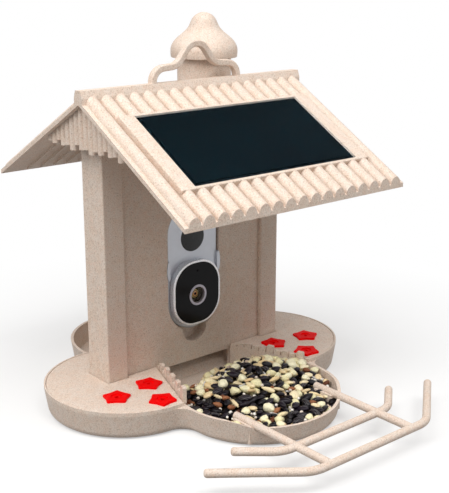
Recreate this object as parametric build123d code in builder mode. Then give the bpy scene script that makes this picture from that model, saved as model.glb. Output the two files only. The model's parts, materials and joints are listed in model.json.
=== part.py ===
"""A smart bird feeder: a small house with a ribbed solar roof, a camera module in its front
wall, a seed hopper behind the wall, and a four-lobed tray with a seed bowl, two nectar wells
under flower lids, a plain bowl at the back and a ladder perch in front.

Millimetres. +Z is up, the camera looks along -Y, and X runs to the right seen from the front.
The origin is on the flat underside of the tray, in the middle between its four lobes.
"""

import os
from math import atan2, cos, hypot, radians, sin, tan

from build123d import *

# Tray: four lobes round the middle, each with a drafted wall
lobe_r = 71.0
side_lobe_x = 76.0
front_lobe_y = 80.0
tray_h = 21.5
tray_draft = 9.0
crotch_r = 12.0
tray_foot_r = 6.5
tray_wall = 2.6
tray_floor = 3.0
bowl_corner_r = 7.0
lip_w = 1.5
lid_top = 24.5

# Dip in the front rim, where the rails of the perch come in
rim_dip = 4.2
dip_half = 48.0
dip_run = 13.0
dip_r = 9.0
dip_start = 28.0
saddle_w = 11.0
saddle_l = 20.0

# Fence between the seed bowl and each nectar lid, from the wall to the crotch
fence_in_x = 41.5
fence_in_y = 3.0
fence_out_x = 67.5
fence_out_y = -68.0
picket_count = 10
picket_w = 6.3
picket_t = 3.4
picket_tall = 15.0
picket_start = 4.0
web_h = 2.4
picket_tip_r = 1.1
left_picket_shares = (0.3, 0.64, 0.42, 0.8, 0.48, 0.82, 0.5, 0.84, 0.53, 0.92)
right_picket_shares = (0.24, 0.4, 0.46, 0.42, 0.46, 0.62, 0.42, 0.48, 0.42, 0.62)

# Nectar lids and their flower ports
lid_gap = 0.5
lip_gap = 0.3
seat_gap = 0.1
lid_edge_r = 0.8
skirt_t = 1.4
skirt_h = 2.5
skirt_gap = 0.9
port_x_shares = (0.441, -0.062, 0.076)
port_y_shares = (-0.404, -0.334, -0.79)
port_turns = (-90.0, -84.0, 84.0)
port_r = 12.4
port_waist_r = 9.2
port_t = 1.9
port_tip_r = 1.3
port_edge_r = 0.6
port_points = 5
port_stem_r = 4.0
port_stem_l = 6.5
port_fit = 0.05
port_dish_r = 4.6
port_dish_t = 0.9
sip_r = 1.7

# House: posts, front wall, hopper and funnel
post_w = 20.0
post_y = 0.0
post_d = 29.7
post_edge_r = 1.2
wall_y = 4.0
wall_t = 2.5
wall_gap = 0.2
slot_half = 40.3
slot_top = 20.2
slot_r = 4.0
leg_w = 2.2
foot_gap = 0.3
hopper_inset = 4.2
hopper_back = 64.0
hopper_wall = 2.2
hopper_corner_r = 3.2
funnel_t = 2.0
funnel_top = 58.0
chute_back = 26.0
funnel_gap = 0.3

# Roof: two ribbed slopes that meet over the front of the posts
roof_half_w = 115.0
roof_overhang = 19.3
eave_y = 131.2
eave_z = 186.0
ridge_z = 260.6
slab_t = 3.1
rib_count = 17
rib_pitch = 13.2
rib_r = 5.5
stiffener_w = 1.2
stiffener_h = 2.0
stiffener_count = 15
stiffener_start = 13.2
stiffener_end = 8.0
roof_gap = 0.2

# Ridge cap and hanging loop
cap_half = 5.6
cap_top_half = 3.6
cap_rise = 11.0
cap_side = 4.8
cap_edge_r = 1.0
loop_half = 45.0
loop_t = 5.4
loop_d = 6.4
loop_edge_r = 1.2
loop_shoulder = 11.0
loop_rise = 29.6
loop_lean = 1.5
loop_hump_half = 19.5
loop_crown_half = 6.5
loop_shoulder_r = 11.0
loop_hump_r = 14.0
loop_crown_r = 12.4

# Gable boards under the roof ends
gable_inset = 9.6
gable_t = 2.0
batten_pitch = 6.7
batten_r = 3.35
batten_foot = 222.0
batten_step = 6.1
batten_drop_shares = (
    0.59, 0.05, 0.62, 0.39, 1.0, 0.34, 0.62, 0.08, 0.57,
    0.39, 0.93, 0.08, 0.62, 0.41, 1.0, 0.41, 0.62,
)

# Solar panel in its raised frame
frame_half_w = 98.0
frame_top_s = 28.3
frame_l = 90.3
frame_rise = 5.9
frame_edge_r = 1.0
panel_half_w = 84.5
panel_top_s = 31.4
panel_l = 84.4
panel_gap = 0.3
glass_t = 1.2
cell_t = 0.5
cell_margin = 4.0
back_t = 2.2
gland_r = 4.0
gland_bore_r = 2.0
gland_flange_r = 5.5
gland_flange_t = 1.5
gland_l = 5.0
gland_fit = 0.05

# Chimney filler and its lift-off cap
chimney_x = 38.4
chimney_y = 36.0
chimney_r = 23.7
chimney_wall = 2.4
chimney_top = 291.0
chimney_fit = 0.1
chimney_flange = 1.7
chimney_flange_t = 1.8
bell_skirt = 5.8
bell_h = 38.3
bell_r = 29.4
bell_wall = 2.4
bell_r_shares = (0.985, 1.0, 0.986, 0.88, 0.677, 0.463, 0.327, 0.18, 0)
bell_z_shares = (0, 0.08, 0.225, 0.37, 0.51, 0.675, 0.875, 0.965, 1.0)
plug_gap = 0.4
plug_l = 11.0
plug_wall = 1.8

# Perch: two rails with two bars whose ends bend back
rod_r = 3.3
perch_z = 18.0
rail_x = 45.0
rail_in_y = -105.0
inner_bar_y = -174.4
outer_bar_y = -210.5
inner_bar_half = 58.0
outer_bar_half = 62.0
inner_tip_x = 88.0
inner_tip_y = -149.0
outer_tip_x = 124.0
outer_tip_y = -161.5
bar_bend_r = 26.0
rod_end_r = 2.4
rod_gap = 0.35

# Camera module in the cradle behind the front wall
cam_half_w = 27.5
cam_foot = 50.0
cam_top = 166.0
cam_face_y = 6.0
cam_split_y = 16.0
cam_back_y = 40.0
cam_edge_r = 1.4
cam_gap = 1.3
pocket_clear = 5.5
pocket_wall = 1.8
guide_gap = 0.3
guide_w = 3.0
guide_turn = 35.0
shell_t = 2.0
ear_half_h = 9.0
ear_proud = 2.1
ear_front_y = 3.7
ear_d = 5.0
ear_gap = 0.4
scoop_r = 13.5
scoop_z = 51.0
scoop_d = 11.0

# Round black face of the camera, its rim and its lens
disc_z = 84.4
disc_half_w = 26.2
disc_half_h = 29.6
disc_corner_r = 23.0
disc_front_y = -1.0
disc_t = 2.0
disc_edge_r = 0.8
rim_w = 1.9
rim_back = 0.6
rim_ledge = 1.6
rim_edge_r = 0.6
face_fit = 0.05
lens_z = 82.6
ring_r = 9.4
ring_bore_r = 7.4
ring_proud = 0.5
ring_wall = 0.9
ring_l = 4.0
glass_dome = 1.5
lens_t = 2.0
lens_sink = 1.2
barrel_wall = 1.2
spy_r = 0.9
spy_z = 105.0
pir_z = 134.0
pir_r = 12.8
pir_dome = 1.2
pir_flange = 1.2
pir_flange_t = 1.0

# Inside the camera
board_y = 17.0
board_t = 1.6
board_half_w = 14.0
board_foot = 62.0
board_top = 150.0
sensor_half = 5.0
sensor_t = 3.0
battery_r = 9.0
battery_foot = 80.0
battery_l = 64.0
speaker_r = 10.0
speaker_t = 5.0
speaker_z = 66.0
inside_gap = 0.4
boss_r = 4.4
boss_x = 19.6
boss_zs = (80.0, 136.0)
button_r = 3.0
button_x = 15.0
button_z = 108.0
button_proud = 0.6
button_flange = 1.0
button_flange_t = 1.0
button_fit = 0.2

# Charging port under the camera, with its rubber plug
port_y = 11.0
port_half_w = 4.6
port_half_d = 1.7
port_depth = 7.0
port_skin = 0.5
port_block_h = 4.0
plug_flange = 1.6
plug_flange_t = 1.6
plug_fit = 0.3
plug_tongue = 3.0

# Screws, and the plate on the hopper's back with a threaded insert for a pole or a bracket
screw_r = 1.5
screw_head_r = 2.8
screw_head_h = 1.8
screw_l = 10.0
screw_fit = 0.05
insert_r = 5.0
insert_bore_r = 3.175
insert_l = 11.0
mount_z = 112.0
mount_half_w = 26.0
mount_half_h = 23.0
mount_t = 3.0
mount_corner_r = 6.0
mount_edge_r = 1.0
mount_boss_wall = 3.5
mount_boss_l = 9.0
mount_boss_foot_r = 3.0

slope = atan2(ridge_z - eave_z, eave_y)
slope_l = hypot(ridge_z - eave_z, eave_y)
slab_rise = slab_t / cos(slope)
wall_back = wall_y + wall_t
cradle_y = wall_back + seat_gap
post_out = roof_half_w - roof_overhang
post_in = post_out - post_w
hopper_half = post_in - hopper_inset
fence_dx = fence_out_x - fence_in_x
fence_dy = fence_out_y - fence_in_y
fence_l = hypot(fence_dx, fence_dy)
throat_half = slot_half + leg_w + foot_gap
ridge_side = picket_t / 2
lid_side = picket_t / 2 + lid_gap
cap_z = ridge_z + cap_rise
cam_mid = (cam_foot + cam_top) / 2
pocket_back = cam_back_y + pocket_clear
gable_in = roof_half_w - gable_inset
bell_foot = chimney_top - bell_skirt
bell_top = bell_foot + bell_h
mount_back = hopper_back + seat_gap
mount_face = mount_back + mount_t + mount_boss_l
sides = (-1, 1)
side_names = {-1: "left", 1: "right"}


def save(item, label):
    """Label one finished piece and write its file."""
    item.part.label = label
    export_step(item.part, f"parts/{label}.step")


def under_roof(y):
    """Height of the underside of the roof at a distance y from the ridge."""
    return ridge_z - abs(y) * tan(slope)


def roof_plane(side):
    """Plane on the underside of one slope, at the ridge: -Y local runs down the slope."""
    return Plane(
        origin=(0, 0, ridge_z),
        x_dir=(-side, 0, 0),
        z_dir=(0, side * sin(slope), cos(slope)),
    )


def at_y(y):
    """Upright plane that faces the front at one distance, with X across and Z up."""
    return Plane.XZ.offset(-y)


def fence_point(along, aside):
    """A point beside the right fence line: along it from the wall, and aside from it outwards."""
    ux, uy = fence_dx / fence_l, fence_dy / fence_l
    return (
        fence_in_x + along * ux - aside * uy,
        fence_in_y + along * uy + aside * ux,
    )


def to_side(points, side):
    """The same points on the right side, or mirrored to the left side."""
    return [(side * x, y) for x, y in points]


def lid_bounds(side, clear):
    """Corners that bound a nectar lid towards the house and the bowl, all at one clearance."""
    aside = picket_t / 2 + clear
    run = fence_in_y + aside * fence_dx / fence_l - wall_y + clear
    inner = fence_point(-run * fence_l / fence_dy, aside)
    points = [
        inner,
        (post_in - clear, inner[1]),
        (post_in - clear, post_y - clear),
        (post_out + clear, post_y - clear),
        (post_out + clear, post_y + post_d + clear),
        (hopper_half + clear, post_y + post_d + clear),
        (hopper_half + clear, front_lobe_y + lobe_r),
        (side_lobe_x + 2 * lobe_r, front_lobe_y + lobe_r),
        (side_lobe_x + 2 * lobe_r, -front_lobe_y - lobe_r),
        fence_point(fence_l + tray_h, aside),
    ]
    return [(side * x, y) for x, y in points]


def lid_area(side, inset, radius=lobe_r - lip_w - lip_gap):
    """Face of one nectar lid, drawn in by an inset: a disc less the house and the bowl."""
    with BuildSketch() as area:
        with Locations((side * side_lobe_x, 0)):
            Circle(radius - inset)
        with BuildSketch(mode=Mode.INTERSECT):
            with BuildLine():
                Polyline(*lid_bounds(side, lid_gap + inset), close=True)
            make_face()
    return area.sketch


def cam_outline(grow=0, mode=Mode.ADD):
    """The camera's outline in the open sketch, grown by a clearance on every side."""
    with Locations((0, cam_mid)):
        SlotOverall(
            cam_top - cam_foot + 2 * grow,
            2 * (cam_half_w + grow),
            rotation=90,
            mode=mode,
        )


def ears(grow=0):
    """The two half-round ears beside the camera, in the open sketch."""
    with Locations((-cam_half_w, cam_mid), (cam_half_w, cam_mid)):
        Ellipse(ear_proud + grow, ear_half_h + grow)


def disc_outline(inset=0, mode=Mode.ADD):
    """The barrel-shaped outline of the camera's face, drawn in by an inset."""
    with Locations((0, disc_z)):
        RectangleRounded(
            2 * (disc_half_w - inset),
            2 * (disc_half_h - inset),
            disc_corner_r - inset,
            mode=mode,
        )


post_screw_places = [
    (side * (post_out - post_w / 2), post_y + share * post_d)
    for side in sides
    for share in (0.25, 0.75)
]
cam_screw_places = [(side * boss_x, z) for side in sides for z in boss_zs]

os.makedirs("parts", exist_ok=True)

with BuildPart() as tray:
    with BuildSketch(Plane.XY.offset(tray_h)) as quatrefoil:
        with PolarLocations(side_lobe_x, 2):
            Circle(lobe_r)
        with PolarLocations(front_lobe_y, 2, start_angle=90):
            Circle(lobe_r)
        Rectangle(lobe_r, lobe_r)
        fillet(
            [v for v in quatrefoil.vertices() if abs(v.X * v.Y) > fence_in_x * fence_in_x],
            crotch_r,
        )
    extrude(amount=-tray_h, taper=tray_draft)
    fillet(tray.faces().sort_by(Axis.Z)[0].outer_wire().edges(), tray_foot_r)
    # Lip round each nectar lid
    for side in sides:
        with BuildSketch(Plane.XY.offset(tray_h)):
            add(lid_area(side, 0, lobe_r))
            with Locations((side * side_lobe_x, 0)):
                Circle(lobe_r - lip_w, mode=Mode.SUBTRACT)
        extrude(amount=lid_top - tray_h)
    # Seed bowl
    with BuildSketch(Plane.XY.offset(tray_h)):
        with Locations((0, -front_lobe_y)):
            Circle(lobe_r - tray_wall)
    extrude(amount=-(tray_h - tray_floor), taper=tray_draft, mode=Mode.SUBTRACT)
    with BuildSketch(Plane.XY.offset(tray_floor)):
        with BuildLine():
            Polyline(
                (throat_half, wall_back),
                (throat_half, fence_in_y),
                fence_point(fence_l - tray_h / 2, -ridge_side),
                (0, fence_out_y),
                (-fence_point(fence_l - tray_h / 2, -ridge_side)[0],
                 fence_point(fence_l - tray_h / 2, -ridge_side)[1]),
                (-throat_half, fence_in_y),
                (-throat_half, wall_back),
                close=True,
            )
        make_face()
    extrude(amount=tray_h - tray_floor, mode=Mode.SUBTRACT)
    # Walls that carry the fences
    for side in sides:
        with BuildSketch(Plane.XY.offset(tray_floor)):
            with BuildLine():
                Polyline(
                    *to_side(
                        [
                            fence_point(0, -ridge_side),
                            fence_point(fence_l - tray_wall, -ridge_side),
                            fence_point(fence_l - tray_wall, lid_side + tray_wall),
                            fence_point(0, lid_side + tray_wall),
                        ],
                        side,
                    ),
                    close=True,
                )
            make_face()
        extrude(amount=tray_h - tray_floor)
    # Chute that runs down from under the funnel to the seed bowl
    with BuildSketch(Plane.YZ):
        with BuildLine():
            Polyline(
                (wall_y, tray_floor),
                (wall_back + leg_w, tray_floor),
                (chute_back, tray_h),
                (wall_y, tray_h),
                close=True,
            )
        make_face()
    extrude(amount=throat_half, both=True, mode=Mode.SUBTRACT)
    # Plain bowl at the back
    with BuildSketch(Plane.XY.offset(tray_h)) as back_bowl:
        with Locations((0, front_lobe_y)):
            Circle(lobe_r - tray_wall)
        with Locations((0, hopper_back + tray_wall)):
            Rectangle(
                2 * lobe_r,
                2 * lobe_r,
                align=(Align.CENTER, Align.MIN),
                mode=Mode.INTERSECT,
            )
        fillet(back_bowl.vertices().group_by(Axis.Y)[0], bowl_corner_r)
    extrude(amount=-(tray_h - tray_floor), taper=tray_draft, mode=Mode.SUBTRACT)
    # Nectar wells under the lids
    for side in sides:
        with BuildSketch(Plane.XY.offset(tray_h)):
            add(lid_area(side, tray_wall))
        with BuildSketch(Plane.XY.offset(tray_floor)):
            add(lid_area(side, tray_wall + (tray_h - tray_floor) * tan(radians(tray_draft))))
        loft(ruled=True, mode=Mode.SUBTRACT)
    # Dip in the front rim
    with BuildSketch(Plane.XZ.offset(front_lobe_y + dip_start)) as dip:
        with BuildLine():
            Polyline(
                (-dip_half - dip_run, lid_top),
                (-dip_half - dip_run, tray_h),
                (-dip_half, tray_h - rim_dip),
                (dip_half, tray_h - rim_dip),
                (dip_half + dip_run, tray_h),
                (dip_half + dip_run, lid_top),
                close=True,
            )
        make_face()
        fillet(dip.vertices().group_by(Axis.Y)[0], dip_r)
    extrude(amount=lobe_r, mode=Mode.SUBTRACT)
    # Saddles for the rails, and a round notch through the rim for each
    with BuildSketch(Plane.XY.offset(tray_floor)):
        with Locations((-rail_x, rail_in_y - rod_r), (rail_x, rail_in_y - rod_r)):
            Rectangle(saddle_w, saddle_l, align=(Align.CENTER, Align.MAX))
    extrude(amount=perch_z - tray_floor)
    with BuildSketch(at_y(rail_in_y + rod_r)):
        with Locations((-rail_x, perch_z), (rail_x, perch_z)):
            Circle(rod_r + rod_gap)
            Rectangle(
                2 * (rod_r + rod_gap), tray_h, align=(Align.CENTER, Align.MIN)
            )
    extrude(amount=lobe_r, mode=Mode.SUBTRACT)
    # Screw holes up into the posts
    with BuildSketch():
        with Locations(*post_screw_places):
            Circle(screw_head_r + screw_fit)
    extrude(amount=tray_h - screw_l / 2, mode=Mode.SUBTRACT)
    with BuildSketch():
        with Locations(*post_screw_places):
            Circle(screw_r + screw_fit)
    extrude(amount=tray_h, mode=Mode.SUBTRACT)
save(tray, "tray")

with BuildPart() as post_screws:
    with BuildSketch(Plane.XY.offset(tray_h - screw_l / 2)):
        with Locations(*post_screw_places):
            Circle(screw_r)
    extrude(amount=screw_l)
    with BuildSketch(Plane.XY.offset(tray_h - screw_l / 2)):
        with Locations(*post_screw_places):
            Circle(screw_head_r)
    extrude(amount=-screw_head_h)
save(post_screws, "post_screws")

# Fences: pickets of uneven height on a low web, with rounded corners at their tops
for side in sides:
    shares = left_picket_shares if side < 0 else right_picket_shares
    pitch = (fence_l - 2 * picket_start) / (picket_count - 1)
    fence_plane = Plane(
        origin=(side * fence_in_x, fence_in_y, tray_h),
        x_dir=(side * fence_dx, fence_dy, 0),
        z_dir=(fence_dy, -side * fence_dx, 0),
    )
    with BuildPart() as fence:
        with BuildSketch(fence_plane):
            with Locations((fence_l / 2, 0)):
                Rectangle(
                    fence_l - 2 * picket_start + picket_w,
                    web_h,
                    align=(Align.CENTER, Align.MIN),
                )
            for index in range(picket_count):
                top = shares[index] * picket_tall
                with Locations((picket_start + index * pitch, top / 2)):
                    RectangleRounded(picket_w, top, picket_tip_r)
                with Locations((picket_start + index * pitch, 0)):
                    Rectangle(picket_w, top / 2, align=(Align.CENTER, Align.MIN))
        extrude(amount=picket_t / 2, both=True)
    save(fence, f"picket_fence_{side_names[side]}")

# Nectar lids, each with a skirt that drops into the well
for side in sides:
    port_places = [
        (side * (side_lobe_x + x_share * lobe_r), y_share * lobe_r)
        for x_share, y_share in zip(port_x_shares, port_y_shares)
    ]
    with BuildPart() as lid:
        with BuildSketch(Plane.XY.offset(tray_h + seat_gap)):
            add(lid_area(side, 0))
        extrude(amount=lid_top - tray_h - seat_gap)
        fillet(lid.faces().sort_by(Axis.Z)[-1].outer_wire().edges(), lid_edge_r)
        with BuildSketch(Plane.XY.offset(tray_h + seat_gap)):
            add(lid_area(side, tray_wall + skirt_gap))
            add(lid_area(side, tray_wall + skirt_gap + skirt_t), mode=Mode.SUBTRACT)
        extrude(amount=-skirt_h)
        with BuildSketch(Plane.XY.offset(lid_top)):
            with Locations(*port_places):
                Circle(port_stem_r + port_fit)
        extrude(amount=-(lid_top - tray_h), mode=Mode.SUBTRACT)
    save(lid, f"nectar_lid_{side_names[side]}")

    for index, place in enumerate(port_places):
        turn = 90 - side * (90 - port_turns[index])
        with BuildPart() as port:
            with BuildSketch(Plane.XY.offset(lid_top)) as star:
                with Locations(place):
                    with BuildSketch(mode=Mode.PRIVATE) as star_face:
                        with BuildLine():
                            Polyline(
                                *[
                                    (
                                        (port_r, port_waist_r)[k % 2]
                                        * cos(radians(turn + k * 180 / port_points)),
                                        (port_r, port_waist_r)[k % 2]
                                        * sin(radians(turn + k * 180 / port_points)),
                                    )
                                    for k in range(2 * port_points)
                                ],
                                close=True,
                            )
                        make_face()
                        fillet(star_face.vertices(), port_tip_r)
                    add(star_face.sketch)
            extrude(amount=port_t)
            fillet(port.faces().sort_by(Axis.Z)[-1].outer_wire().edges(), port_edge_r)
            with BuildSketch(Plane.XY.offset(lid_top)):
                with Locations(place):
                    Circle(port_stem_r)
            extrude(amount=-port_stem_l)
            with BuildSketch(Plane.XY.offset(lid_top + port_t)):
                with Locations(place):
                    Circle(port_dish_r)
            extrude(amount=-port_dish_t, taper=tray_draft, mode=Mode.SUBTRACT)
            with BuildSketch(Plane.XY.offset(lid_top + port_t)):
                with Locations(place):
                    Circle(sip_r)
            extrude(amount=-(port_t + port_stem_l), mode=Mode.SUBTRACT)
        save(port, f"flower_port_{side_names[side]}_{index + 1}")

# Posts from the tray to the roof
for side in sides:
    with BuildPart() as post:
        with BuildSketch(Plane.YZ.offset(side * post_in)):
            with BuildLine():
                Polyline(
                    (post_y, tray_h),
                    (post_y + post_d, tray_h),
                    (post_y + post_d, under_roof(post_y + post_d) - roof_gap),
                    (post_y, under_roof(post_y) - roof_gap),
                    close=True,
                )
            make_face()
        extrude(amount=side * post_w)
        fillet(post.edges().filter_by(Axis.Z), post_edge_r)
        with BuildSketch(Plane.XY.offset(tray_h)):
            with Locations(*[place for place in post_screw_places if place[0] * side > 0]):
                Circle(screw_r + screw_fit)
        extrude(amount=screw_l / 2 + screw_fit, mode=Mode.SUBTRACT)
    save(post, f"post_{side_names[side]}")

with BuildPart() as front_wall:
    with BuildSketch(at_y(wall_y)):
        with Locations((0, tray_h)):
            Rectangle(
                2 * (post_in - wall_gap),
                under_roof(wall_back) - roof_gap - tray_h,
                align=(Align.CENTER, Align.MIN),
            )
        with Locations((0, tray_floor + foot_gap)):
            Rectangle(
                2 * (slot_half + leg_w),
                tray_h - tray_floor - foot_gap,
                align=(Align.CENTER, Align.MIN),
            )
    extrude(amount=-wall_t)
    # Openings for the camera with its ears, for a finger below it and for the seed
    with BuildSketch(at_y(wall_y)):
        cam_outline(cam_gap)
    extrude(amount=-wall_t, mode=Mode.SUBTRACT)
    with BuildSketch(at_y(wall_y)):
        with Locations((0, scoop_z)):
            Circle(scoop_r)
    extrude(amount=-wall_t, mode=Mode.SUBTRACT)
    with BuildSketch(at_y(wall_y)):
        ears(ear_gap)
    extrude(amount=-wall_t, mode=Mode.SUBTRACT)
    with BuildSketch(at_y(wall_y)) as slot:
        Rectangle(2 * slot_half, slot_top, align=(Align.CENTER, Align.MIN))
        fillet(slot.vertices().group_by(Axis.Y)[-1], slot_r)
    extrude(amount=-wall_t, mode=Mode.SUBTRACT)
save(front_wall, "front_wall")

# Cradle bonded behind the wall: a pocket for the camera, and a shallower one for a finger below it
with BuildPart() as camera_cradle:
    with BuildSketch(at_y(cradle_y)):
        cam_outline(cam_gap + pocket_wall)
    extrude(amount=-(pocket_back + pocket_wall - cradle_y))
    with BuildSketch(at_y(cradle_y)):
        with Locations((0, scoop_z)):
            Circle(scoop_r + pocket_wall)
    extrude(amount=-(wall_y + scoop_d + pocket_wall - cradle_y))
    with BuildSketch(at_y(cradle_y)):
        cam_outline(cam_gap)
    extrude(amount=-(pocket_back - cradle_y), mode=Mode.SUBTRACT)
    with BuildSketch(at_y(cradle_y)):
        with Locations((0, scoop_z)):
            Circle(scoop_r)
    extrude(amount=-(wall_y + scoop_d - cradle_y), mode=Mode.SUBTRACT)
    with BuildSketch(at_y(cradle_y)):
        ears(ear_gap)
    extrude(amount=-(ear_front_y + ear_d + ear_gap - cradle_y), mode=Mode.SUBTRACT)
    # Guides that the camera slides on
    with BuildSketch(at_y(ear_front_y + ear_d + ear_gap)):
        for arc_z, turn in (
            (cam_foot + cam_half_w, -90),
            (cam_top - cam_half_w, 90),
        ):
            with Locations((0, arc_z)):
                with PolarLocations(
                    cam_half_w + guide_gap,
                    2,
                    start_angle=turn - guide_turn,
                    angular_range=2 * guide_turn,
                    endpoint=True,
                ):
                    Rectangle(
                        cam_gap,
                        guide_w,
                        align=(Align.MIN, Align.CENTER),
                    )
    extrude(amount=-(pocket_back - ear_front_y - ear_d - ear_gap))
save(camera_cradle, "camera_cradle")

with BuildPart() as hopper:
    with BuildSketch(Plane.XY.offset(tray_h)) as walls:
        with Locations((0, wall_back + wall_gap)):
            Rectangle(
                2 * hopper_half,
                hopper_back - wall_back - wall_gap,
                align=(Align.CENTER, Align.MIN),
            )
        fillet(walls.vertices().group_by(Axis.Y)[-1], hopper_corner_r)
        with BuildSketch(mode=Mode.SUBTRACT) as inside:
            with Locations((0, wall_back + wall_gap)):
                Rectangle(
                    2 * (hopper_half - hopper_wall),
                    hopper_back - hopper_wall - wall_back - wall_gap,
                    align=(Align.CENTER, Align.MIN),
                )
            fillet(
                inside.vertices().group_by(Axis.Y)[-1], hopper_corner_r - hopper_wall
            )
    extrude(amount=ridge_z - tray_h)
    split(bisect_by=roof_plane(1).offset(-roof_gap), keep=Keep.BOTTOM)
save(hopper, "hopper")

# Plate bonded to the hopper's back, with a boss round the threaded insert
with BuildPart() as mount_plate:
    with BuildSketch(at_y(mount_back)):
        with Locations((0, mount_z)):
            RectangleRounded(2 * mount_half_w, 2 * mount_half_h, mount_corner_r)
    extrude(amount=-mount_t)
    fillet(mount_plate.faces().sort_by(Axis.Y)[-1].edges(), mount_edge_r)
    with BuildSketch(at_y(mount_back + mount_t)):
        with Locations((0, mount_z)):
            Circle(insert_r + mount_boss_wall)
    extrude(amount=-mount_boss_l)
    fillet(
        mount_plate.edges()
        .filter_by(GeomType.CIRCLE)
        .filter_by(lambda edge: abs(edge.center().Y - mount_back - mount_t) < mount_edge_r / 2)
        .sort_by(lambda edge: edge.radius)[-1],
        mount_boss_foot_r,
    )
    fillet(mount_plate.faces().sort_by(Axis.Y)[-1].edges(), mount_edge_r)
    with BuildSketch(at_y(mount_face)):
        with Locations((0, mount_z)):
            Circle(insert_r)
    extrude(amount=insert_l, mode=Mode.SUBTRACT)
save(mount_plate, "mount_plate")

with BuildPart() as pole_insert:
    with BuildSketch(at_y(mount_face)):
        with Locations((0, mount_z)):
            Circle(insert_r)
            Circle(insert_bore_r, mode=Mode.SUBTRACT)
    extrude(amount=insert_l)
save(pole_insert, "pole_insert")

# Funnel in the foot of the hopper, from its full width down to the chute, closed in front by
# the front wall
funnel_mouths = (
    (funnel_top, hopper_half - hopper_wall - funnel_gap, hopper_back - hopper_wall - funnel_gap),
    (tray_h, throat_half + funnel_t, chute_back + funnel_t),
)
with BuildPart() as seed_funnel:
    for inset, mode in ((0, Mode.ADD), (funnel_t, Mode.SUBTRACT)):
        for z, half, back in funnel_mouths:
            with BuildSketch(Plane.XY.offset(z)):
                with Locations((0, wall_back + funnel_gap)):
                    Rectangle(
                        2 * (half - inset),
                        back - wall_back - funnel_gap - inset,
                        align=(Align.CENTER, Align.MIN),
                    )
        loft(ruled=True, mode=mode)
save(seed_funnel, "seed_funnel")


def roof_slope(side):
    """One slope of the roof: a slab with half-round ribs and thin stiffeners below."""
    plane = roof_plane(side)
    with BuildPart() as slope_part:
        # The ribs stop against the ridge cap
        rib_plane = Plane(
            origin=plane.origin,
            x_dir=plane.x_dir,
            z_dir=-plane.y_dir,
        )
        with BuildSketch(rib_plane):
            with Locations((0, slab_t)):
                with GridLocations(rib_pitch, 0, rib_count, 1):
                    Circle(rib_r)
                Rectangle(
                    2 * roof_half_w,
                    2 * rib_r,
                    align=(Align.CENTER, Align.MIN),
                    mode=Mode.INTERSECT,
                )
        extrude(amount=slope_l + rib_r)
        split(
            bisect_by=Plane(origin=(0, side * (cap_half + seat_gap), 0), z_dir=(0, side, 0)),
            keep=Keep.TOP,
        )
        with BuildSketch(plane):
            Rectangle(2 * roof_half_w, 2 * (slope_l + rib_r))
        extrude(amount=slab_t)
        under_start = stiffener_start if side < 0 else hopper_back / cos(slope) + rib_pitch
        with BuildSketch(plane):
            with Locations((0, -under_start)):
                with GridLocations(rib_pitch, 0, stiffener_count, 1):
                    Rectangle(
                        stiffener_w,
                        slope_l - stiffener_end - under_start,
                        align=(Align.CENTER, Align.MAX),
                    )
        extrude(amount=-stiffener_h)
        split(
            bisect_by=Plane(origin=(0, side * eave_y, 0), z_dir=(0, -side, 0)),
            keep=Keep.TOP,
        )
        split(
            bisect_by=Plane(origin=(0, side * roof_gap / 2, 0), z_dir=(0, side, 0)),
            keep=Keep.TOP,
        )
    return slope_part


front_roof = roof_plane(-1)
panel_top_n = slab_t + frame_rise
with BuildPart() as roof_front:
    add(roof_slope(-1).part)
    with BuildSketch(front_roof.offset(slab_t)):
        with Locations((0, -frame_top_s)):
            Rectangle(2 * frame_half_w, frame_l, align=(Align.CENTER, Align.MAX))
    extrude(amount=frame_rise)
    fillet(
        roof_front.faces().sort_by(Axis((0, 0, 0), front_roof.z_dir))[-1].edges(),
        frame_edge_r,
    )
    with BuildSketch(front_roof.offset(panel_top_n)):
        with Locations((0, -panel_top_s + panel_gap)):
            Rectangle(
                2 * (panel_half_w + panel_gap),
                panel_l + 2 * panel_gap,
                align=(Align.CENTER, Align.MAX),
            )
    extrude(amount=-(glass_t + cell_t + back_t), mode=Mode.SUBTRACT)
    with BuildSketch(front_roof):
        with Locations((rib_pitch / 2, -panel_top_s - gland_flange_r - cell_margin)):
            Circle(gland_r + gland_fit)
    extrude(amount=panel_top_n, mode=Mode.SUBTRACT)
save(roof_front, "roof_front")

with BuildPart() as roof_back:
    add(roof_slope(1).part)
    with BuildSketch(Plane.XY.offset(eave_z)):
        with Locations((chimney_x, chimney_y)):
            Circle(chimney_r + chimney_fit)
    extrude(amount=chimney_top - eave_z, mode=Mode.SUBTRACT)
save(roof_back, "roof_back")

# Solar panel: back sheet, cells and glass, laid in the frame
panel_layers = (
    ("solar_back", glass_t + cell_t + back_t, back_t, 0),
    ("solar_cells", glass_t + cell_t, cell_t, cell_margin),
    ("solar_glass", glass_t, glass_t, 0),
)
for label, depth, thick, margin in panel_layers:
    with BuildPart() as layer:
        with BuildSketch(front_roof.offset(panel_top_n - depth)):
            with Locations((0, -panel_top_s - margin)):
                Rectangle(
                    2 * (panel_half_w - margin),
                    panel_l - 2 * margin,
                    align=(Align.CENTER, Align.MAX),
                )
        extrude(amount=thick)
    save(layer, label)

with BuildPart() as lead_gland:
    with BuildSketch(front_roof.offset(-gland_l)):
        with Locations((rib_pitch / 2, -panel_top_s - gland_flange_r - cell_margin)):
            Circle(gland_r)
            Circle(gland_bore_r, mode=Mode.SUBTRACT)
    extrude(amount=gland_l + slab_t)
    with BuildSketch(front_roof):
        with Locations((rib_pitch / 2, -panel_top_s - gland_flange_r - cell_margin)):
            Circle(gland_flange_r)
            Circle(gland_r, mode=Mode.SUBTRACT)
    extrude(amount=-gland_flange_t)
save(lead_gland, "lead_gland")


def slab_top(y):
    """Height of the top of the slab at a distance y from the ridge."""
    return under_roof(y) + slab_rise


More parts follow.
